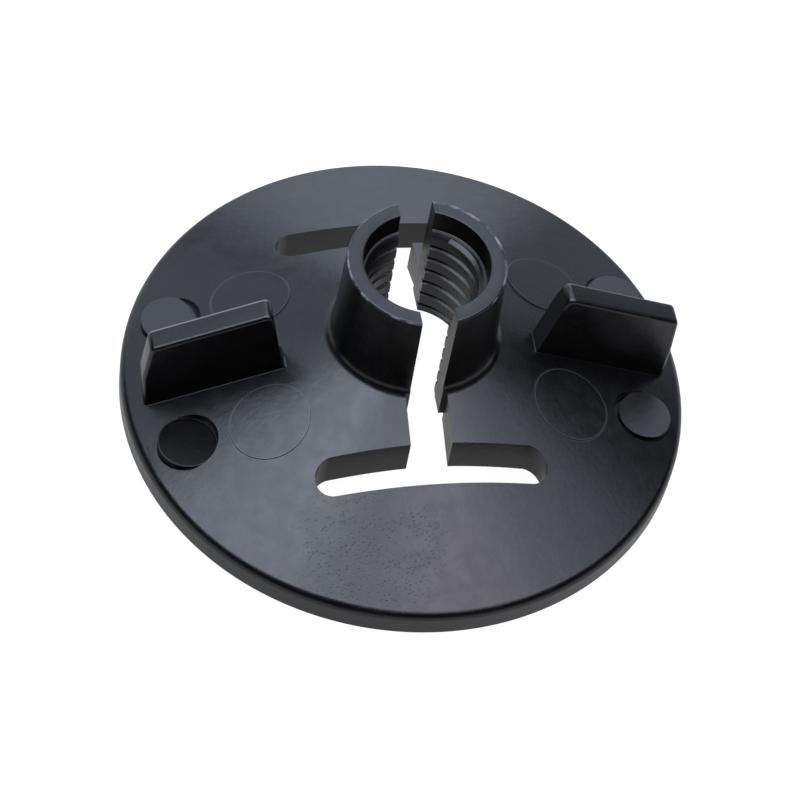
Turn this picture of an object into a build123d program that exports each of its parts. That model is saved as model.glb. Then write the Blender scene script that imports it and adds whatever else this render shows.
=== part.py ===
from build123d import *
import math
import os

# A quick-fit plastic nut, moulded in one piece: a shallow conical disc with a split, threaded hub
# and two thumb wings. Millimetres and degrees. The origin is at the centre of the flat ring that
# the nut rests on. +Z runs up the thread axis and X runs through the two wings. The slots through
# the disc run along X, and the split through the hub runs along Y.

# Disc
DISC_DIAMETER = 40.0
RIM_HEIGHT = 1.95         # the straight side at the edge, before its edges are rounded
FALL_ANGLE = 21.0         # the top falls this much from the middle to the rim
SHELL_HEIGHT = 2.8        # thickness of the conical wall, measured straight down
RIM_TOP_ROUND = 0.7
RIM_FOOT_ROUND = 0.2

# Thread, M8 x 1.25, here as a plain bore over its crests, which are cut short
THREAD_DIAMETER = 8.0
THREAD_PITCH = 1.25
THREAD_BITE = 0.2         # how far the crests reach into the bolt's thread, in pitches
LEAD_IN = 0.3             # chamfer where the bolt enters the thread

# Hub
HUB_RISE = 5.26           # its top above the point where the cone's slopes would meet
POCKET_CLEARANCE = 0.5    # the open pocket over the thread is this much wider than the bolt
POCKET_DEPTH = 1.62
POCKET_WALL = 1.11        # wall of the hub around the pocket
FLARE_ACROSS = 0.6        # growth of the hub's radius towards its foot, along X
FLARE_ALONG = 0.1         # the same along Y, beside the split
HUB_TOP_ROUND = 0.15
HUB_FOOT_FILLET = 0.8
FOOT_RECESS_MARGIN = 0.42 # how much wider than the hub the recess under it is
FOOT_RECESS_DEPTH = 0.5   # how far the hub's lower end stands up inside the underside

# Split through the hub, and the slots that let its halves spring apart
SPLIT_WIDTH = 2.4
NECK_WIDTH = 2.9          # the split outside the hub
SLOT_WIDTH = 2.65
SLOT_LENGTH = 16.15
SLOT_CENTRE = 10.1        # from the axis to the middle of each slot

# Wings
WING_THICKNESS = 1.75
WING_LENGTH = 8.25
WING_HEIGHT = 6.2         # above the disc, measured straight up
WING_SETBACK = 1.5        # from the disc's edge to the wing's outer end
WING_OFFSET = -0.68       # both wings stand a little to the same side of the axis
WING_LEAN = 12.7          # slope of the end that faces the hub
WING_INNER_FILLET = 0.8
WING_FOOT_FILLET = 0.3
WING_CORNER_ROUND = 0.5
WING_EDGE_ROUND = 0.25
WING_TOE_SUNK = 0.12      # how far its inner toe runs on under the disc's surface

# Marks of the ejector pins: flat, level spots near the edge and faint, proud ones near the hub
PIN_DIAMETER = 4.1
PIN_SETBACK = 3.08        # from the disc's edge to the pin's centre
PIN_ANGLE = 18.2          # from the X axis
CORE_PIN_DIAMETER = 5.4
CORE_PIN_SETBACK = 8.15
CORE_PIN_ANGLE = 26.8
CORE_PIN_RISE = 0.09      # these stand proud of the disc

# Worked out from the sizes above
fall = math.tan(math.radians(FALL_ANGLE))
rim_radius = DISC_DIAMETER / 2
peak = RIM_HEIGHT + rim_radius * fall
under_peak = peak - SHELL_HEIGHT
rest_radius = under_peak / fall
bore_radius = THREAD_DIAMETER / 2 - THREAD_BITE * THREAD_PITCH
pocket_radius = (THREAD_DIAMETER + POCKET_CLEARANCE) / 2
hub_radius = pocket_radius + POCKET_WALL
hub_top = peak + HUB_RISE
hub_foot_radius = hub_radius + FLARE_ALONG
recess_radius = hub_radius + FOOT_RECESS_MARGIN
hub_floor = under_peak - recess_radius * fall + FOOT_RECESS_DEPTH
through = 2 * hub_top     # tall enough to cut right through
near = 0.2                # how close to its place an edge is looked for


def cone_height(radius):
    """Height of the disc's top surface at a distance from the axis."""
    return peak - radius * fall


def disc():
    """The conical disc with its rounded rim and its flat ring to rest on."""
    outline = make_face(
        Polyline(
            (0, under_peak),
            (0, peak),
            (rim_radius, RIM_HEIGHT),
            (rim_radius, 0),
            (rest_radius, 0),
            close=True,
        )
    )
    corners = outline.vertices().sort_by(Axis.X)[-2:].sort_by(Axis.Y)
    outline = fillet(corners[1], RIM_TOP_ROUND)
    foot = outline.vertices().group_by(Axis.Y)[0].sort_by(Axis.X)[-1]
    outline = fillet(foot, RIM_FOOT_ROUND)
    return revolve(Plane.YZ * outline, Axis.Z)


def hub():
    """The hub's outer body: round at the top, and flared across the split at its foot."""
    foot_height = under_peak - hub_radius * fall
    foot = Pos(0, 0, foot_height) * Ellipse(hub_radius + FLARE_ACROSS, hub_foot_radius)
    top = Pos(0, 0, hub_top) * Circle(hub_radius)
    body = loft([foot, top])
    return fillet(body.edges().group_by(Axis.Z)[-1], HUB_TOP_ROUND)


def disc_and_hub():
    """The disc and the hub joined, with a fillet around the hub's foot."""
    body = disc() + hub()
    low = cone_height(hub_radius + FLARE_ACROSS)
    high = cone_height(hub_radius)
    around = [
        edge
        for edge in body.edges()
        if low - near < edge.center(CenterOf.BOUNDING_BOX).Z < high + near
        and edge.bounding_box().size.X > hub_radius
    ]
    return fillet(around, HUB_FOOT_FILLET)


def wing():
    """The wing on the +X side, with the fillet that runs from its inner end onto the disc."""
    outer = rim_radius - WING_SETBACK
    inner = outer - WING_LENGTH
    sunk = SHELL_HEIGHT / 2
    foot_height = cone_height(inner)
    lean = math.tan(math.radians(WING_LEAN))
    foot = inner - WING_HEIGHT * lean / (1 + lean * fall)
    toe = foot - 2 * WING_INNER_FILLET
    outline = make_face(
        Polyline(
            (outer, cone_height(outer) - sunk),
            (outer, cone_height(outer) + WING_HEIGHT),
            (inner, foot_height + WING_HEIGHT),
            (foot, cone_height(foot) - WING_TOE_SUNK),
            (toe, cone_height(toe) - WING_TOE_SUNK),
            (toe, cone_height(toe) - sunk),
            close=True,
        )
    )
    inner_foot = outline.vertices().sort_by_distance((foot, cone_height(foot)))[0]
    outline = fillet(inner_foot, WING_INNER_FILLET)
    top_corners = outline.vertices().group_by(Axis.Y)[-1] + [
        outline.vertices().sort_by_distance((outer, cone_height(outer) + WING_HEIGHT))[0]
    ]
    outline = fillet(top_corners, WING_CORNER_ROUND)
    body = extrude(Plane.XZ * outline, WING_THICKNESS / 2, both=True)
    top_edges = body.faces().sort_by(Axis.Z)[-1].edges().filter_by(Axis.Y, reverse=True)
    body = fillet(top_edges, WING_EDGE_ROUND)
    return Pos(0, WING_OFFSET, 0) * body


def wing_feet(body):
    """The edges where the wings' long faces and outer ends meet the disc."""
    reach = WING_THICKNESS / 2 + near
    outer = rim_radius - WING_SETBACK
    feet = []
    for edge in body.edges():
        box = edge.bounding_box()
        middle = edge.center(CenterOf.BOUNDING_BOX)
        on_wing = abs(middle.Y - WING_OFFSET) < reach and box.min.Z > RIM_HEIGHT / 2
        low = middle.Z < cone_height(abs(middle.X)) + WING_HEIGHT / 4
        long_foot = box.size.X > WING_LENGTH
        end_foot = abs(abs(middle.X) - outer) < near and box.size.Z < WING_HEIGHT / 4
        if on_wing and low and (long_foot or end_foot):
            feet.append(edge)
    return feet


def split_and_slots():
    """What the split, its wider necks and the two slots take away."""
    cut = Box(SPLIT_WIDTH, 2 * SLOT_CENTRE, through)
    for side in (-1, 1):
        slot = extrude(SlotOverall(SLOT_LENGTH, SLOT_WIDTH), through / 2, both=True)
        neck_length = SLOT_CENTRE - hub_foot_radius
        neck = Box(NECK_WIDTH, neck_length, through)
        cut += Pos(0, side * SLOT_CENTRE, 0) * slot
        cut += Pos(0, side * (SLOT_CENTRE - neck_length / 2), 0) * neck
    return cut


def bore():
    """The pocket over the thread, the lead-in, the thread's bore and the recess under the hub."""
    pocket_floor = hub_top - POCKET_DEPTH
    outline = make_face(
        Polyline(
            (0, -1),
            (recess_radius, -1),
            (recess_radius, hub_floor),
            (bore_radius, hub_floor),
            (bore_radius, pocket_floor - LEAD_IN),
            (bore_radius + LEAD_IN, pocket_floor),
            (pocket_radius, pocket_floor),
            (pocket_radius, hub_top + 1),
            (0, hub_top + 1),
            close=True,
        )
    )
    return revolve(Plane.YZ * outline, Axis.Z)


def around_the_disc(radius, angle):
    """The same place beside each end of each wing."""
    x = radius * math.cos(math.radians(angle))
    y = radius * math.sin(math.radians(angle))
    return [Pos(side * x, end * y, 0) for side in (-1, 1) for end in (-1, 1)]


def with_pin_marks(body):
    """Level spots, half sunk and half proud, and faint proud ones that follow the cone."""
    pin_radius = rim_radius - PIN_SETBACK
    level = cone_height(pin_radius)
    depth = SHELL_HEIGHT / 3
    spot = Circle(PIN_DIAMETER / 2)
    over = extrude(spot, through - level)
    under = extrude(spot, -depth)
    for place in around_the_disc(pin_radius, PIN_ANGLE):
        body -= place * Pos(0, 0, level) * over
        body += place * Pos(0, 0, level) * under
    proud = peak + CORE_PIN_RISE
    layer = revolve(
        Plane.YZ
        * make_face(
            Polyline(
                (0, proud - depth),
                (0, proud),
                (rim_radius, RIM_HEIGHT + CORE_PIN_RISE),
                (rim_radius, RIM_HEIGHT + CORE_PIN_RISE - depth),
                close=True,
            )
        ),
        Axis.Z,
    )
    core_spot = extrude(Circle(CORE_PIN_DIAMETER / 2), through)
    for place in around_the_disc(rim_radius - CORE_PIN_SETBACK, CORE_PIN_ANGLE):
        body += place * core_spot & layer
    return body


def nut():
    """The whole nut."""
    body = disc_and_hub()
    body = with_pin_marks(body)
    body += wing()
    body += mirror(wing(), Plane.YZ)
    body = fillet(wing_feet(body), WING_FOOT_FILLET)
    return body - bore() - split_and_slots()


os.makedirs("parts", exist_ok=True)
quick_nut = nut()
export_step(quick_nut, "parts/quick_nut.step")
print("bore radius", round(bore_radius, 4), "hub top", round(hub_top, 3), "hub floor", round(hub_floor, 3))
print("solids", len(quick_nut.solids()), "volume", round(quick_nut.volume, 1), quick_nut.bounding_box())
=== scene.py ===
"""The looks of a quick-fit plastic nut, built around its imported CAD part.

The nut is one black moulding: a shallow cone with a split, threaded hub and two thumb wings.
It is modelled at one unit to the millimetre and shrunk to metres when it is whole.
"""

import logging
import math
from dataclasses import dataclass, field
from enum import Enum
from typing import Callable, Iterable, Sequence

import bmesh
import bpy
from mathutils import Matrix, Vector


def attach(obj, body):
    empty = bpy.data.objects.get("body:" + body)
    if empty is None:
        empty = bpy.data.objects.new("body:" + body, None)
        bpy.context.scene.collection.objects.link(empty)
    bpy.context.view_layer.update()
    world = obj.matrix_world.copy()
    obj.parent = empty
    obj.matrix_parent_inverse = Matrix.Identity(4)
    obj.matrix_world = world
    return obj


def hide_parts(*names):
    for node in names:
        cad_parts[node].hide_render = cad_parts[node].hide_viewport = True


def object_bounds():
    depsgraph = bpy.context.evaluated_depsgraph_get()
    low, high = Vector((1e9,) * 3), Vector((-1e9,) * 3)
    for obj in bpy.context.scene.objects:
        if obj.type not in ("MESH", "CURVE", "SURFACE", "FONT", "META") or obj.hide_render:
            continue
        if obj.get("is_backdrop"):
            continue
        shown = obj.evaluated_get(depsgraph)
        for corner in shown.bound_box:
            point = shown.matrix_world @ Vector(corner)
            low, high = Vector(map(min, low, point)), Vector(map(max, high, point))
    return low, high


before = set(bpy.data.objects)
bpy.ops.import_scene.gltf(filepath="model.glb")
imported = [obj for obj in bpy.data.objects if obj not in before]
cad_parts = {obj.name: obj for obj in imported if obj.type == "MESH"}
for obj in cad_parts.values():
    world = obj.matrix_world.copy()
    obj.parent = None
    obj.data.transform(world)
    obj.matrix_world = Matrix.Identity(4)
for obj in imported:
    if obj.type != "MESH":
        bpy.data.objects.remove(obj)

log = logging.getLogger("quick_nut")

MM = 0.001                 # metres in a millimetre
STEPS = 360
PIECE = "nut_moulding"
NODE = "quick_nut"
BODY = "root"


class Joining(Enum):
    """How a tool body changes the body that it is used on."""

    ADD = "UNION"
    CUT = "DIFFERENCE"
    KEEP = "INTERSECT"


class Side(Enum):
    """The two sides that the split parts."""

    LEFT = -1
    RIGHT = 1


@dataclass
class Corner:
    """A corner of an outline in the plane of the thread axis.

    Args:
        across: distance from the axis.
        up: height.
        radius: how much the corner is rounded, nought where it stays sharp.
        steps: edges that the rounding has.
    """

    across: float
    up: float
    radius: float = 0.0
    steps: int = 4


def outline_face(bm: bmesh.types.BMesh, corners: Sequence[Corner]) -> bmesh.types.BMFace:
    """Makes a face in the XZ plane and rounds its corners.

    Args:
        bm: the mesh that gets the face.
        corners: the outline, in order.

    Returns:
        The rounded face.
    """
    verts = [bm.verts.new((c.across, 0.0, c.up)) for c in corners]
    bm.faces.new(verts)
    count = len(corners)
    for i, (corner, vert) in enumerate(zip(corners, verts)):
        if not corner.radius:
            continue
        before = Vector((corners[i - 1].across, corners[i - 1].up))
        after = Vector((corners[(i + 1) % count].across, corners[(i + 1) % count].up))
        here = Vector((corner.across, corner.up))
        half = (before - here).angle(after - here) / 2
        bmesh.ops.bevel(
            bm, geom=[vert], offset=corner.radius / math.tan(half), offset_type="OFFSET",
            affect="VERTICES", segments=corner.steps, profile=0.5, material=-1,
        )
    return next(iter(bm.faces))


class Solid:
    """A closed body that others are joined to or cut from."""

    def __init__(self, name: str, bm: bmesh.types.BMesh) -> None:
        """Closes the mesh's seams, turns its faces outwards and gives it an object."""
        bmesh.ops.remove_doubles(bm, verts=bm.verts, dist=1e-5)
        bmesh.ops.recalc_face_normals(bm, faces=bm.faces)
        mesh = bpy.data.meshes.new(name)
        bm.to_mesh(mesh)
        bm.free()
        self.object = bpy.data.objects.new(name, mesh)
        bpy.context.scene.collection.objects.link(self.object)

    def use(self, tool: "Solid", how: Joining) -> None:
        """Joins, cuts or keeps what the tool covers, and uses the tool up.

        Args:
            tool: the other body.
            how: what it does to this one.
        """
        change = self.object.modifiers.new("joining", "BOOLEAN")
        change.operation = how.value
        change.solver = "EXACT"
        change.object = tool.object
        graph = bpy.context.evaluated_depsgraph_get()
        mesh = bpy.data.meshes.new_from_object(self.object.evaluated_get(graph))
        self.object.modifiers.clear()
        old = self.object.data
        self.object.data = mesh
        bpy.data.meshes.remove(old)
        spent = tool.object.data
        bpy.data.objects.remove(tool.object)
        bpy.data.meshes.remove(spent)

    def reshape(self, change: Callable[[bmesh.types.BMesh], None]) -> None:
        """Opens the mesh, hands it to a function and takes it back."""
        bm = bmesh.new()
        bm.from_mesh(self.object.data)
        change(bm)
        bm.to_mesh(self.object.data)
        bm.free()


def turned(name: str, corners: Sequence[Corner], steps: int) -> Solid:
    """Turns an outline that stays clear of the axis into a ring.

    Args:
        name: the body's name.
        corners: its outline, in the XZ plane.
        steps: faces around the axis.

    Returns:
        The closed ring.
    """
    bm = bmesh.new()
    face = outline_face(bm, corners)
    bmesh.ops.delete(bm, geom=[face], context="FACES_ONLY")
    bmesh.ops.spin(
        bm, geom=bm.verts[:] + bm.edges[:], cent=(0, 0, 0), axis=(0, 0, 1), dvec=(0, 0, 0),
        angle=math.tau, steps=steps, use_merge=True, use_duplicate=False,
    )
    return Solid(name, bm)


def block(name: str, size: Sequence[float], middle: Sequence[float]) -> Solid:
    """A plain block, as a cutting tool.

    Args:
        name: the body's name.
        size: its three sides.
        middle: where its middle lies.

    Returns:
        The block.
    """
    bm = bmesh.new()
    bmesh.ops.create_cube(bm, size=1.0, matrix=Matrix.Translation(middle) @ Matrix.Diagonal((*size, 1.0)))
    return Solid(name, bm)


def pillar(name: str, radius: float, low: float, high: float, place: Vector, steps: int = 96) -> Solid:
    """An upright cylinder, as a cutting tool.

    Args:
        name: the body's name.
        radius: its radius.
        low: height of its lower end.
        high: height of its upper end.
        place: its axis, seen from above.
        steps: faces around it.

    Returns:
        The cylinder.
    """
    bm = bmesh.new()
    middle = Vector((place.x, place.y, (low + high) / 2))
    bmesh.ops.create_cone(
        bm, cap_ends=True, segments=steps, radius1=radius, radius2=radius, depth=high - low,
        matrix=Matrix.Translation(middle),
    )
    return Solid(name, bm)


@dataclass
class Disc:
    """The conical disc: its top slope, its rim and the flat ring that it rests on."""

    radius: float
    rim_height: float = 1.95
    fall_angle: float = 21.0
    shell: float = 2.8
    top_round: float = 0.7
    foot_round: float = 0.2

    @property
    def fall(self) -> float:
        """How much the slope drops for each unit outwards."""
        return math.tan(math.radians(self.fall_angle))

    @property
    def peak(self) -> float:
        """Where the top slopes would meet."""
        return self.rim_height + self.radius * self.fall

    @property
    def rest_radius(self) -> float:
        """Inner edge of the flat ring."""
        return (self.peak - self.shell) / self.fall

    def height(self, across: float) -> float:
        """Height of the top at a distance from the axis."""
        return self.peak - across * self.fall

    def outline(self, near: float) -> list[Corner]:
        """The corners from a ring on the top slope, round the rim, to the flat ring's inner edge."""
        return [
            Corner(near, self.height(near)),
            Corner(self.radius, self.rim_height, self.top_round, 8),
            Corner(self.radius, 0.0, self.foot_round, 4),
            Corner(self.rest_radius, 0.0),
        ]


@dataclass
class Hub:
    """The hub: its pocket, its bore, its flared foot and the recess under it."""

    disc: Disc
    top: float
    thread_diameter: float = 8.0
    pitch: float = 1.25
    bite: float = 0.2
    pocket_clearance: float = 0.5
    pocket_depth: float = 1.62
    pocket_wall: float = 1.11
    lead_in: float = 0.3
    flare_across: float = 0.6
    flare_along: float = 0.1
    foot_fillet: float = 0.8
    recess_margin: float = 0.42
    recess_depth: float = 0.5
    top_round: float = 0.15
    inner_round: float = 0.1
    blend_radius: float = 9.0
    root: float = 7.0
    sprung: dict = field(default_factory=lambda: {Side.LEFT: (-0.04, 0.02), Side.RIGHT: (0.12, 0.165)})

    @property
    def bore_radius(self) -> float:
        """Radius over the thread's crests, which are cut short."""
        return self.thread_diameter / 2 - self.bite * self.pitch

    @property
    def pocket_radius(self) -> float:
        """Radius of the open pocket over the thread."""
        return (self.thread_diameter + self.pocket_clearance) / 2

    @property
    def radius(self) -> float:
        """The hub's outer radius at its top."""
        return self.pocket_radius + self.pocket_wall

    @property
    def pocket_floor(self) -> float:
        """Height of the step over the thread."""
        return self.top - self.pocket_depth

    @property
    def recess_radius(self) -> float:
        """Radius of the recess under the hub."""
        return self.radius + self.recess_margin

    @property
    def floor(self) -> float:
        """Height of the hub's lower end."""
        return self.disc.height(self.recess_radius) - self.disc.shell + self.recess_depth

    def outline(self) -> list[Corner]:
        """The corners from the recess under the hub, up its bore and down its outer wall."""
        under = self.disc.height(self.recess_radius) - self.disc.shell
        return [
            Corner(self.recess_radius, under),
            Corner(self.recess_radius, self.floor),
            Corner(self.bore_radius, self.floor),
            Corner(self.bore_radius, self.pocket_floor - self.lead_in),
            Corner(self.bore_radius + self.lead_in, self.pocket_floor, 0.05, 2),
            Corner(self.pocket_radius, self.pocket_floor, 0.12, 3),
            Corner(self.pocket_radius, self.top, self.inner_round, 3),
            Corner(self.radius, self.top, self.top_round, 4),
            Corner(self.radius, self.disc.height(self.radius), self.foot_fillet, 8),
        ]

    def spring(self, bm: bmesh.types.BMesh) -> None:
        """Springs the two halves apart a little, each bending from its root in the disc."""
        for vert in bm.verts:
            if vert.co.xy.length > self.recess_radius + 1 or vert.co.z < self.root:
                continue
            share = (vert.co.z - self.root) / (self.top - self.root)
            move = self.sprung[Side.RIGHT if vert.co.x > 0 else Side.LEFT]
            vert.co.xy += Vector(move) * share

    def flare(self, bm: bmesh.types.BMesh) -> None:
        """Widens the hub towards its foot, more across the split than along it."""
        ellipse_x = self.radius + self.flare_across
        ellipse_y = self.radius + self.flare_along
        start = self.disc.height(self.radius) - self.disc.shell
        fillet_top = self.disc.height(self.radius) + self.foot_fillet
        for vert in bm.verts:
            across = vert.co.xy.length
            on_top = vert.co.z > self.disc.height(across) - 0.01
            beside = across < self.radius - self.top_round - 0.01 or across > self.blend_radius - 0.01
            if beside or not on_top:
                continue
            way = vert.co.xy / across
            foot = 1 / math.hypot(way.x / ellipse_x, way.y / ellipse_y) - self.radius
            share = (self.top - max(vert.co.z, fillet_top)) / (self.top - start)
            move = foot * share
            vert.co.xy += way * move
            if vert.co.z < fillet_top:
                vert.co.z -= move * self.disc.fall


@dataclass
class Thread:
    """The groove of the nut's thread, as a tool that winds up the bore."""

    hub: Hub
    depth: float = 0.4
    steps: int = 60
    start_angle: float = -94.7

    def tool(self) -> Solid:
        """Winds the groove's outline up the bore, right-handed."""
        pitch = self.hub.pitch
        crest = self.hub.bore_radius
        root = crest + self.depth
        half = [
            (crest - 0.1, 0.24), (crest + 0.01, 0.19), (crest + 0.06, 0.15),
            (root - 0.06, 0.07), (root, 0.03),
        ]
        points = [(r, w * pitch) for r, w in half] + [(r, -w * pitch) for r, w in reversed(half)]
        low = self.hub.floor - pitch
        turns = (self.hub.pocket_floor - self.hub.lead_in / 2 - low) / pitch
        count = round(turns * self.steps)
        bm = bmesh.new()
        bm.faces.new([bm.verts.new((r, 0.0, low + w)) for r, w in points])
        bmesh.ops.rotate(
            bm, verts=bm.verts, cent=(0, 0, 0),
            matrix=Matrix.Rotation(math.radians(self.start_angle), 3, "Z"),
        )
        bmesh.ops.spin(
            bm, geom=bm.faces[:], cent=(0, 0, 0), axis=(0, 0, 1), dvec=(0, 0, pitch / self.steps),
            angle=math.tau * count / self.steps, steps=count, use_merge=False, use_duplicate=False,
        )
        return Solid("thread_groove", bm)


@dataclass
class Slots:
    """The split through the hub, its wider necks and the two slots that let the halves spring."""

    hub: Hub
    split: float = 2.25
    neck: float = 2.9
    width: float = 2.65
    length: float = 16.15
    centre: float = 10.1

    def stadium(self, centre: float, high: float) -> Solid:
        """A round-ended slot along X.

        Args:
            centre: where its middle lies along Y.
            high: how far it reaches up and down.

        Returns:
            The cutting tool.
        """
        bm = bmesh.new()
        bmesh.ops.create_circle(bm, cap_ends=True, segments=48, radius=self.width / 2)
        reach = (self.length - self.width) / 2
        for vert in bm.verts:
            vert.co.x += math.copysign(reach, vert.co.x) if abs(vert.co.x) > 1e-6 else 0.0
        raised = bmesh.ops.extrude_face_region(bm, geom=bm.faces[:])
        tops = [g for g in raised["geom"] if isinstance(g, bmesh.types.BMVert)]
        bmesh.ops.translate(bm, verts=tops, vec=(0, 0, 2 * high))
        bmesh.ops.translate(bm, verts=bm.verts, vec=(0, centre, -high))
        return Solid("slot", bm)

    def tools(self) -> list[Solid]:
        """Everything that is cut away, piece by piece."""
        high = 1.5 * self.hub.top
        neck_start = self.hub.radius + self.hub.flare_along
        found = [block("split", (self.split, 2 * self.centre, 2 * high), (0, 0, 0))]
        for side in (-1, 1):
            found.append(self.stadium(side * self.centre, high))
            size = (self.neck, self.centre - neck_start, 2 * high)
            found.append(block("neck", size, (0, side * (self.centre + neck_start) / 2, 0)))
        return found


@dataclass
class Wing:
    """A thumb wing that stands on the disc, with the fillets at its foot."""

    disc: Disc
    side: Side
    thickness: float = 1.75
    length: float = 8.25
    height: float = 6.2
    setback: float = 1.5
    offset: float = -0.68
    lean_angle: float = 12.7
    inner_fillet: float = 0.8
    bulge: float = 0.1
    foot_fillet: float = 0.16
    corner_round: float = 0.5
    edge_round: float = 0.28
    skin: float = 0.06

    @property
    def outer(self) -> float:
        """Distance from the axis to the outer end."""
        return self.disc.radius - self.setback

    @property
    def inner(self) -> float:
        """Distance from the axis to the top of the inner end."""
        return self.outer - self.length

    @property
    def foot(self) -> float:
        """Distance from the axis to where the leaning inner end meets the disc."""
        lean = math.tan(math.radians(self.lean_angle))
        return self.inner - self.height * lean / (1 + lean * self.disc.fall)

    def blade(self) -> Solid:
        """The wing's own body, sunk into the disc."""
        sunk = self.disc.shell / 2
        toe = self.foot - 2 * self.inner_fillet
        corners = [
            Corner(self.outer, self.disc.height(self.outer) - sunk),
            Corner(self.outer + self.bulge, self.disc.height(self.outer) + self.height * 0.45, 4.0, 8),
            Corner(self.outer, self.disc.height(self.outer) + self.height, self.corner_round, 5),
            Corner(self.inner, self.disc.height(self.inner) + self.height, self.corner_round, 5),
            Corner(self.foot, self.disc.height(self.foot) - self.skin, self.inner_fillet, 12),
            Corner(toe, self.disc.height(toe) - self.skin),
            Corner(toe, self.disc.height(toe) - sunk),
        ]
        bm = bmesh.new()
        face = outline_face(bm, corners)
        raised = bmesh.ops.extrude_face_region(bm, geom=[face])
        far = [g for g in raised["geom"] if isinstance(g, bmesh.types.BMVert)]
        bmesh.ops.translate(bm, verts=far, vec=(0, self.thickness, 0))
        bmesh.ops.translate(bm, verts=bm.verts, vec=(0, self.offset - self.thickness / 2, 0))
        bmesh.ops.recalc_face_normals(bm, faces=bm.faces)
        rims = [e for e in bm.edges if self.is_rim(e)]
        bmesh.ops.bevel(
            bm, geom=rims, offset=self.edge_round, offset_type="OFFSET", affect="EDGES",
            segments=3, profile=0.5, material=-1, loop_slide=False,
        )
        if self.side is Side.LEFT:
            bmesh.ops.scale(bm, vec=(-1, 1, 1), verts=bm.verts)
        return Solid("wing", bm)

    def is_rim(self, edge: bmesh.types.BMEdge) -> bool:
        """Whether an edge outlines a long face along its top or down its outer end."""
        a, b = (v.co for v in edge.verts)
        flat = abs(a.y - b.y) < 1e-6
        middle = (a + b) / 2
        top = middle.z > self.disc.height(middle.x) + self.height * 0.8
        end = min(a.x, b.x) > self.outer - self.corner_round - 0.01
        under = max(a.z, b.z) < self.disc.height(self.outer)
        return flat and (top or end) and not under

    def foot_line(self) -> list[tuple[float, float, float, float]]:
        """The line that the foot's fillet follows, from toe to toe round the outer end.

        Returns:
            For each station the pivot's place, the way out in degrees and the share of full size.
        """
        half = self.thickness / 2 - self.edge_round
        end = self.outer - self.edge_round
        lean_out = math.cos(math.radians(self.disc.fall_angle))
        tangent = self.inner_fillet / math.tan(math.radians(90 - self.disc.fall_angle + self.lean_angle) / 2)
        toe = []
        for share in (0.05, 0.2, 0.45, 0.7, 1.0):
            along = math.sqrt(2 * self.inner_fillet * (self.foot_fillet * share + self.skin))
            toe.append((self.foot - (tangent - along) * lean_out, share))
        run = [(toe[-1][0] + (end - toe[-1][0]) * i / 12, 1.0) for i in range(1, 13)]
        side = toe + run
        turns = [-67.5, -45.0, -22.5, 0.0]
        line = [(x, -half, -90.0, share) for x, share in side]
        line += [(end, -half, turn, 1.0) for turn in turns]
        line += [(end, half, -turn, 1.0) for turn in reversed(turns)]
        line += [(x, half, 90.0, share) for x, share in reversed(side)]
        return line

    def foot_bead(self) -> Solid:
        """The concave fillet that runs round the wing's foot, as a swept strip."""
        arc = [math.radians(a) for a in (0, 18, 36, 54, 72, 90)]
        size = self.foot_fillet
        sink = 0.012
        curve = [(size * (1 - math.sin(a)) - sink, size * (1 - math.cos(a)) - sink) for a in arc]
        section = curve[::-1] + [(size * 0.9, -0.4), (-self.edge_round, -0.4), (-self.edge_round, size * 0.9)]
        line = self.foot_line()
        bm = bmesh.new()
        face = bm.faces.new([bm.verts.new((0, 0, 0)) for _ in section])
        self.place(face.verts[:], section, line[0])
        for i, station in enumerate(line[1:]):
            grown = bmesh.ops.extrude_face_region(bm, geom=[face])["geom"]
            if i:
                bmesh.ops.delete(bm, geom=[face], context="FACES_ONLY")
            face = next(g for g in grown if isinstance(g, bmesh.types.BMFace))
            self.place(face.verts[:], section, station)
        bmesh.ops.translate(bm, verts=bm.verts, vec=(0, self.offset, 0))
        for vert in bm.verts:
            vert.co.z += self.disc.height(vert.co.xy.length)
        if self.side is Side.LEFT:
            bmesh.ops.scale(bm, vec=(-1, 1, 1), verts=bm.verts)
        return Solid("wing_foot", bm)

    def place(self, verts: Iterable[bmesh.types.BMVert], section: Sequence[tuple[float, float]],
              station: tuple[float, float, float, float]) -> None:
        """Puts the strip's section at a station.

        Args:
            verts: the section's vertices, in order.
            section: distance out from the wing's face and height of each.
            station: the pivot, the way out from it and the share of full size.
        """
        x, y, turn, share = station
        way = Vector((math.cos(math.radians(turn)), math.sin(math.radians(turn))))
        for vert, (out, up) in zip(verts, section):
            reach = self.edge_round + out * (share if out > 0 else 1)
            vert.co = (x + way.x * reach, y + way.y * reach, up * (share if up > 0 else 1))


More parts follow.
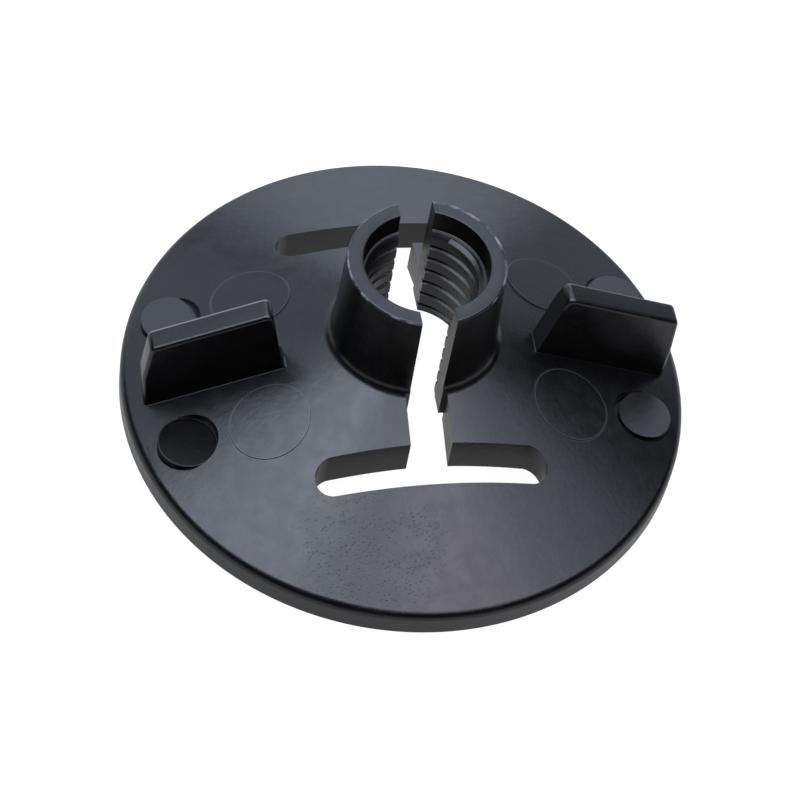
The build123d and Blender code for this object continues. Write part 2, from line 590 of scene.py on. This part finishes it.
@dataclass
class PinMarks:
    """What the mould's ejector pins left: level spots by the rim and faint, proud ones by the hub."""

    disc: Disc
    diameter: float = 4.1
    setback: float = 3.08
    angle: float = 18.2
    core_diameter: float = 5.4
    core_setback: float = 8.15
    core_angle: float = 26.8
    core_rise: float = 0.09
    step: float = 0.1
    groove: float = 0.5
    groove_aside: float = 0.3
    sunk: float = 0.8
    above_all: float = 12.0

    @property
    def ring(self) -> float:
        """Distance from the axis to the level spots."""
        return self.disc.radius - self.setback

    @property
    def core_ring(self) -> float:
        """Distance from the axis to the faint spots."""
        return self.disc.radius - self.core_setback

    @staticmethod
    def places(radius: float, angle: float) -> list[Vector]:
        """The same place beside each end of each wing."""
        x = radius * math.cos(math.radians(angle))
        y = radius * math.sin(math.radians(angle))
        return [Vector((side * x, end * y)) for side in (-1, 1) for end in (-1, 1)]

    def press(self, body: Solid) -> None:
        """Presses all eight marks into the body."""
        level = self.disc.height(self.ring)
        radius = self.diameter / 2
        for place in self.places(self.ring, self.angle):
            body.use(pillar("boss", radius, level - self.sunk, level, place), Joining.ADD)
            body.use(pillar("sink", radius + 0.02, level - 0.001, level + 3, place), Joining.CUT)
            if place.y < 0:
                inside = self.stepped if place.x < 0 else self.crescent
                body.use(inside(place, level), Joining.CUT)
        for place in self.places(self.core_ring, self.core_angle):
            layer = self.layer(self.core_ring)
            layer.use(pillar("spot", self.core_diameter / 2, 0.0, self.above_all, place), Joining.KEEP)
            body.use(layer, Joining.ADD)

    def stepped(self, place: Vector, level: float) -> Solid:
        """The second, smaller step that one pin left in its mark."""
        return pillar("step", self.diameter / 2 - self.step, level - self.step, level + 1, place)

    def crescent(self, place: Vector, level: float) -> Solid:
        """The groove that one pin left along the inner edge of its mark."""
        groove = pillar("groove", self.diameter / 2, level - self.groove, level + 1, place)
        aside = place + Vector((self.groove, self.groove * self.groove_aside))
        groove.use(pillar("land", self.diameter / 2, level - 1, level + 2, aside), Joining.CUT)
        return groove

    def layer(self, near: float) -> Solid:
        """A ring that stands just proud of the slope."""
        low, high = near - self.core_diameter, near + self.core_diameter
        return turned("layer", [
            Corner(low, self.disc.height(low) - self.sunk),
            Corner(low, self.disc.height(low) + self.core_rise),
            Corner(high, self.disc.height(high) + self.core_rise),
            Corner(high, self.disc.height(high) - self.sunk),
        ], STEPS)


def linear(code: str) -> tuple[float, float, float, float]:
    """Turns an sRGB hex colour into the linear one that a socket takes."""
    parts = [int(code[i:i + 2], 16) / 255 for i in (1, 3, 5)]
    red, green, blue = (p / 12.92 if p <= 0.04045 else ((p + 0.055) / 1.055) ** 2.4 for p in parts)
    return red, green, blue, 1.0


def node(tree: bpy.types.NodeTree, kind: str, settings: dict = {}, links: dict = {}) -> bpy.types.Node:
    """Adds a node.

    Args:
        tree: the node tree.
        kind: the node's type.
        settings: values of its properties, and of its sockets by name or number.
        links: sockets of other nodes that feed its own, by name or number.

    Returns:
        The node.
    """
    made = tree.nodes.new(kind)
    for name, value in settings.items():
        if isinstance(name, int) or name in made.inputs:
            made.inputs[name].default_value = value
        else:
            setattr(made, name, value)
    for name, source in links.items():
        tree.links.new(source, made.inputs[name])
    return made


def ramped(tree: bpy.types.NodeTree, value: bpy.types.NodeSocket, start: float, end: float,
           low: float = 0.0, high: float = 1.0) -> bpy.types.NodeSocket:
    """Eases a value from one level to another between two of its sizes.

    Args:
        tree: the node tree.
        value: what is measured.
        start: where the low level ends.
        end: where the high level begins.
        low: the first level.
        high: the second level.

    Returns:
        The eased value.
    """
    return node(tree, "ShaderNodeMapRange", {
        "interpolation_type": "SMOOTHSTEP", 1: start, 2: end, 3: low, 4: high,
    }, {0: value}).outputs[0]


def combined(tree: bpy.types.NodeTree, operation: str, first: bpy.types.NodeSocket,
             *others: bpy.types.NodeSocket | float) -> bpy.types.NodeSocket:
    """Chains one sum over several values.

    Args:
        tree: the node tree.
        operation: the sum, such as MULTIPLY.
        first: the first value.
        others: the values that follow, sockets or numbers.

    Returns:
        The result.
    """
    for other in others:
        if isinstance(other, (int, float)):
            made = node(tree, "ShaderNodeMath", {"operation": operation, 1: other}, {0: first})
        else:
            made = node(tree, "ShaderNodeMath", {"operation": operation}, {0: first, 1: other})
        first = made.outputs[0]
    return first


def apart(tree: bpy.types.NodeTree, where: bpy.types.NodeSocket, x: float, y: float) -> bpy.types.NodeSocket:
    """Distance from an upright line, in millimetres.

    Args:
        tree: the node tree.
        where: the point's place in millimetres.
        x: the line's place across the split.
        y: the line's place along it.

    Returns:
        The distance.
    """
    flat = node(tree, "ShaderNodeVectorMath", {"operation": "MULTIPLY", 1: (1, 1, 0)}, {0: where})
    return node(tree, "ShaderNodeVectorMath", {"operation": "DISTANCE", 1: (x, y, 0)},
                {0: flat.outputs[0]}).outputs["Value"]


@dataclass(frozen=True)
class MouldedNylon:
    """Black nylon, injection moulded in a spark-eroded tool.

    It gives the eye a satin skin over a deep black, with a fine grain, a patch of small pits on
    the disc and grey scuffs where the hub's top edge has rubbed; the same grey is also painted
    highlight along the wings' back top edges and round the faint pin marks.
    """

    disc: Disc
    hub: Hub
    marks: PinMarks
    colour: str = "#050506"
    # grey of the scuffs, also used for the painted highlights
    scuff_and_highlight_grey: str = "#8d8d94"
    roughness: float = 0.3
    ior: float = 1.53
    specular: float = 0.5
    dull_specular: float = 0.16
    bump_strength: float = 0.3
    bump_depth: float = 0.05
    grain_share: float = 0.7
    pitted: tuple[float, float] = (-4.4, -14.9)
    scuff_and_highlight_roughness: float = 0.2

    def scuffs_and_highlights(self, tree: bpy.types.NodeTree, where: bpy.types.NodeSocket) -> bpy.types.NodeSocket:
        """How far each place is grey: scuffs on the hub's top edge, and painted highlights along the wings'
        back top edges and round the faint pin marks.

        Args:
            tree: the node tree.
            where: the point's place in millimetres.

        Returns:
            The share, from nought to one.
        """
        parts = node(tree, "ShaderNodeSeparateXYZ", {}, {0: where}).outputs
        across = apart(tree, where, 0.0, 0.0)
        ragged = node(tree, "ShaderNodeTexNoise", {"Scale": 1.1, "Detail": 4.0}, {"Vector": where}).outputs[0]
        ring = combined(
            tree, "MULTIPLY", ramped(tree, across, self.hub.radius - 0.1, self.hub.radius - 0.02),
            ramped(tree, parts[2], self.hub.top - 0.22, self.hub.top - 0.08),
            ramped(tree, ragged, 0.42, 0.62, 0.0, 0.75),
        )
        fall = combined(tree, "MULTIPLY", across, self.disc.fall)
        above = combined(tree, "ADD", parts[2], fall, -self.disc.peak)
        # Painted highlight: grey along the back top edge of each wing, stronger on the left wing.
        ridge = ramped(tree, parts[1], -0.1, 0.02, 0.0, 0.6)
        wing = combined(
            tree, "MULTIPLY", ridge, ramped(tree, above, 5.9, 6.05), ramped(tree, across, 8.5, 9.0),
            ramped(tree, parts[0], 0.5, -0.5, 0.35, 1.0),
        )
        share = combined(tree, "ADD", ring, wing)
        # Painted highlight: a faint grey line round the edge of each faint pin mark.
        for place in self.marks.places(self.marks.core_ring, self.marks.core_angle):
            off = combined(tree, "SUBTRACT", apart(tree, where, *place), self.marks.core_diameter / 2)
            line = ramped(tree, node(tree, "ShaderNodeMath", {"operation": "ABSOLUTE"}, {0: off}).outputs[0],
                          0.04, 0.1, 0.1, 0.0)
            share = combined(tree, "ADD", share, line)
        return share

    def relief(self, tree: bpy.types.NodeTree, where: bpy.types.NodeSocket) -> bpy.types.NodeSocket:
        """The grain of the skin, and the pits on the disc.

        Args:
            tree: the node tree.
            where: the point's place in millimetres.

        Returns:
            Its height, in shares of the bump's distance.
        """
        grain = node(tree, "ShaderNodeTexNoise", {"Scale": 2.6, "Detail": 2.0, "Roughness": 0.5},
                     {"Vector": where})
        cells = node(tree, "ShaderNodeTexVoronoi", {"Scale": 3.7, "Randomness": 1.0}, {"Vector": where})
        patch = ramped(tree, apart(tree, where, *self.pitted), 2.6, 6.8, 1.0, 0.0)
        spread = node(tree, "ShaderNodeTexNoise", {"Scale": 0.45, "Detail": 2.0},
                      {"Vector": where}).outputs[0]
        pits = combined(tree, "MULTIPLY", ramped(tree, cells.outputs["Distance"], 0.12, 0.38, -1.0, 0.0),
                        patch, ramped(tree, spread, 0.3, 0.5, 0.25, 1.0))
        return combined(tree, "ADD", combined(tree, "MULTIPLY", grain.outputs[0], self.grain_share), pits)

    def build(self) -> bpy.types.Material:
        """Builds the material."""
        material = bpy.data.materials.new("nylon_moulded_black")
        material.use_nodes = True
        tree = material.node_tree
        tree.nodes.clear()
        place = node(tree, "ShaderNodeTexCoord").outputs["Object"]
        where = node(tree, "ShaderNodeVectorMath", {"operation": "SCALE", "Scale": 1 / MM},
                     {0: place}).outputs[0]
        bump = node(tree, "ShaderNodeBump",
                    {"Strength": self.bump_strength, "Distance": self.bump_depth * MM},
                    {"Height": self.relief(tree, where)})
        cloud = node(tree, "ShaderNodeTexNoise", {"Scale": 0.9, "Detail": 3.0}, {"Vector": where}).outputs[0]
        skin = ramped(tree, cloud, 0.3, 0.7, self.roughness - 0.015, self.roughness + 0.045)
        scuffs_and_highlights = self.scuffs_and_highlights(tree, where)
        # Mixes in the grey of the scuffs and of the painted highlights.
        colour = node(tree, "ShaderNodeMix", {
            "data_type": "RGBA", 6: linear(self.colour), 7: linear(self.scuff_and_highlight_grey),
        }, {0: scuffs_and_highlights})
        # One mark's floor is duller than the skin around it.
        marked = self.marks.places(self.marks.ring, self.marks.angle)[0]
        edge = self.marks.diameter / 2
        dull = ramped(tree, apart(tree, where, *marked), edge - 0.12, edge - 0.06,
                      self.dull_specular, self.specular)
        shader = node(tree, "ShaderNodeBsdfPrincipled", {"IOR": self.ior}, {
            "Specular IOR Level": dull, "Base Color": colour.outputs[2], "Normal": bump.outputs[0],
            "Roughness": combined(tree, "ADD", skin,
                                  combined(tree, "MULTIPLY", scuffs_and_highlights, self.scuff_and_highlight_roughness)),
        })
        node(tree, "ShaderNodeOutputMaterial", {}, {"Surface": shader.outputs[0]})
        return material


@dataclass
class Nut:
    """The whole moulding."""

    radius: float
    top: float
    disc: Disc = field(init=False)
    hub: Hub = field(init=False)

    def __post_init__(self) -> None:
        """Takes the disc and the hub from the CAD box."""
        self.disc = Disc(self.radius)
        self.hub = Hub(self.disc, self.top)

    def build(self) -> bpy.types.Object:
        """Models the moulding and shrinks it to metres.

        Returns:
            Its object.
        """
        corners = self.hub.outline() + self.disc.outline(self.hub.blend_radius)
        body = turned(PIECE, corners, STEPS)
        body.reshape(self.hub.flare)
        for tool in Slots(self.hub).tools():
            body.use(tool, Joining.CUT)
        PinMarks(self.disc).press(body)
        for wing in (
            Wing(self.disc, Side.LEFT, length=8.1, lean_angle=11.3, inner_fillet=0.3, bulge=0.4),
            Wing(self.disc, Side.RIGHT, length=8.4, lean_angle=14.2, inner_fillet=0.2, foot_fillet=0.1),
        ):
            body.use(wing.blade(), Joining.ADD)
            body.use(wing.foot_bead(), Joining.ADD)
        body.use(Thread(self.hub).tool(), Joining.CUT)
        body.reshape(self.hub.spring)
        mesh = body.object.data
        mesh.transform(Matrix.Scale(MM, 4))
        mesh.shade_smooth()
        mesh.set_sharp_from_angle(angle=math.radians(32))
        even = body.object.modifiers.new("even_normals", "WEIGHTED_NORMAL")
        even.mode = "FACE_AREA_WITH_ANGLE"
        even.keep_sharp = True
        return body.object

    def dress(self, piece: bpy.types.Object) -> None:
        """Gives the moulding its finish and its place on the frame."""
        piece.data.materials.clear()
        piece.data.materials.append(MouldedNylon(self.disc, self.hub, PinMarks(self.disc)).build())
        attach(piece, BODY)
        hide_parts(NODE)


@dataclass
class Lamp:
    """A round, soft panel of light that faces the nut.

    Args:
        name: its name.
        azimuth: the way it stands, in degrees from +X.
        elevation: how high it stands, in degrees.
        radiance: how bright its face is.
        tint: its colour.
        distance: how far off, in metres.
        across: its diameter, in metres.
    """

    name: str
    azimuth: float
    elevation: float
    radiance: float
    tint: tuple[float, float, float] = (0.9, 1.0, 1.2)
    distance: float = 0.8
    across: float = 0.52

    def build(self, target: Vector) -> None:
        """Hangs the panel."""
        light = bpy.data.lights.new(self.name, "AREA")
        light.shape = "DISK"
        light.size = self.across
        light.color = self.tint
        light.energy = self.radiance * math.pi * math.pi * self.across ** 2 / 4
        a, e = math.radians(self.azimuth), math.radians(self.elevation)
        way = Vector((math.cos(a) * math.cos(e), math.sin(a) * math.cos(e), math.sin(e)))
        lamp = bpy.data.objects.new(self.name, light)
        lamp.location = target + way * self.distance
        lamp.rotation_euler = way.to_track_quat("Z", "Y").to_euler()
        bpy.context.scene.collection.objects.link(lamp)


@dataclass
class Studio:
    """The floor, the lamps, the world and the camera."""

    apex: Vector
    azimuth: float = 18.249
    elevation: float = 52.781
    roll: float = 11.487
    focal: float = 131.68
    distance: float = 0.20066
    slide: tuple[float, float] = (0.0012044, 0.0061074)
    seen_white: float = 0.97
    mirrored_white: float = 0.5

    def camera(self) -> None:
        """Sets the camera."""
        az, el, roll = (math.radians(v) for v in (self.azimuth, self.elevation, self.roll))
        back = Vector((-math.sin(az) * math.cos(el), -math.cos(az) * math.cos(el), math.sin(el)))
        right = Vector((math.cos(az), -math.sin(az), 0))
        up = back.cross(right)
        turned_right = math.cos(roll) * right + math.sin(roll) * up
        turned_up = -math.sin(roll) * right + math.cos(roll) * up
        data = bpy.data.cameras.new("camera")
        data.lens = self.focal
        data.sensor_width = 36.0
        data.clip_start = 0.01
        camera = bpy.data.objects.new("camera", data)
        place = self.apex + back * self.distance - turned_right * self.slide[0] - turned_up * self.slide[1]
        columns = Matrix((turned_right, turned_up, back)).transposed().to_4x4()
        camera.matrix_world = Matrix.Translation(place) @ columns
        bpy.context.scene.collection.objects.link(camera)
        bpy.context.scene.camera = camera

    def floor(self) -> None:
        """Lays the plain pale floor, which looks white and shows one even value in reflections."""
        bm = bmesh.new()
        bmesh.ops.create_grid(bm, x_segments=1, y_segments=1, size=2.0)
        mesh = bpy.data.meshes.new("floor")
        bm.to_mesh(mesh)
        bm.free()
        floor = bpy.data.objects.new("floor", mesh)
        bpy.context.scene.collection.objects.link(floor)
        material = bpy.data.materials.new("floor_white_card")
        material.use_nodes = True
        tree = material.node_tree
        tree.nodes.clear()
        path = node(tree, "ShaderNodeLightPath")
        mirrored = combined(tree, "MULTIPLY", path.outputs["Is Glossy Ray"], self.mirrored_white)
        seen = combined(tree, "MULTIPLY", path.outputs["Is Camera Ray"], self.seen_white)
        card = node(tree, "ShaderNodeBsdfDiffuse", {"Color": linear("#6e6e6e")})
        glow = node(tree, "ShaderNodeEmission", {"Color": (1, 1, 1, 1)},
                    {"Strength": combined(tree, "ADD", seen, mirrored)})
        both = node(tree, "ShaderNodeAddShader", {}, {0: card.outputs[0], 1: glow.outputs[0]})
        node(tree, "ShaderNodeOutputMaterial", {}, {"Surface": both.outputs[0]})
        mesh.materials.append(material)
        floor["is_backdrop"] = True

    def world(self) -> None:
        """Fills the room with a low, even light, white where the camera looks past the floor."""
        world = bpy.data.worlds.new("room")
        bpy.context.scene.world = world
        world.use_nodes = True
        tree = world.node_tree
        tree.nodes.clear()
        path = node(tree, "ShaderNodeLightPath")
        dim = node(tree, "ShaderNodeBackground", {"Color": linear("#101012"), "Strength": 1.0})
        white = node(tree, "ShaderNodeBackground", {"Color": (1, 1, 1, 1), "Strength": 1.0})
        mix = node(tree, "ShaderNodeMixShader", {},
                   {0: path.outputs["Is Camera Ray"], 1: dim.outputs[0], 2: white.outputs[0]})
        node(tree, "ShaderNodeOutputWorld", {}, {"Surface": mix.outputs[0]})

    def lamps(self) -> None:
        """Hangs the lamps."""
        for lamp in (
            Lamp("top", 0.0, 90.0, 2.9),
            Lamp("high_left", 180.0, 62.0, 4.1),
            Lamp("high_back_left", 120.0, 62.0, 1.3),
            Lamp("high_back_right", 60.0, 62.0, 1.35),
            Lamp("high_right", 0.0, 62.0, 1.85),
            Lamp("high_front_right", 300.0, 62.0, 2.4, (1.15, 0.95, 1.12)),
            Lamp("back", 80.0, 33.0, 1.6),
            Lamp("back_left", 120.0, 33.0, 0.75),
            Lamp("low_back_right", 40.0, 7.0, 0.65),
            Lamp("low_back", 80.0, 7.0, 1.3),
            Lamp("low_back_left", 120.0, 7.0, 0.9),
        ):
            lamp.build(self.apex)

    def build(self) -> None:
        """Builds the studio."""
        bpy.context.scene.view_settings.view_transform = "Standard"
        self.camera()
        self.floor()
        self.world()
        self.lamps()


def main() -> None:
    """Builds the nut and its studio, and reports each piece."""
    logging.basicConfig(level=logging.INFO, format="%(message)s")
    low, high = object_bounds()
    nut = Nut((high[0] - low[0]) / 2 / MM, high[2] / MM)
    piece = nut.build()
    nut.dress(piece)
    log.info("%s: %d faces", piece.name, len(piece.data.polygons))
    Studio(Vector((0.0, 0.0, nut.disc.peak * MM))).build()


if __name__ == "__main__":
    main()
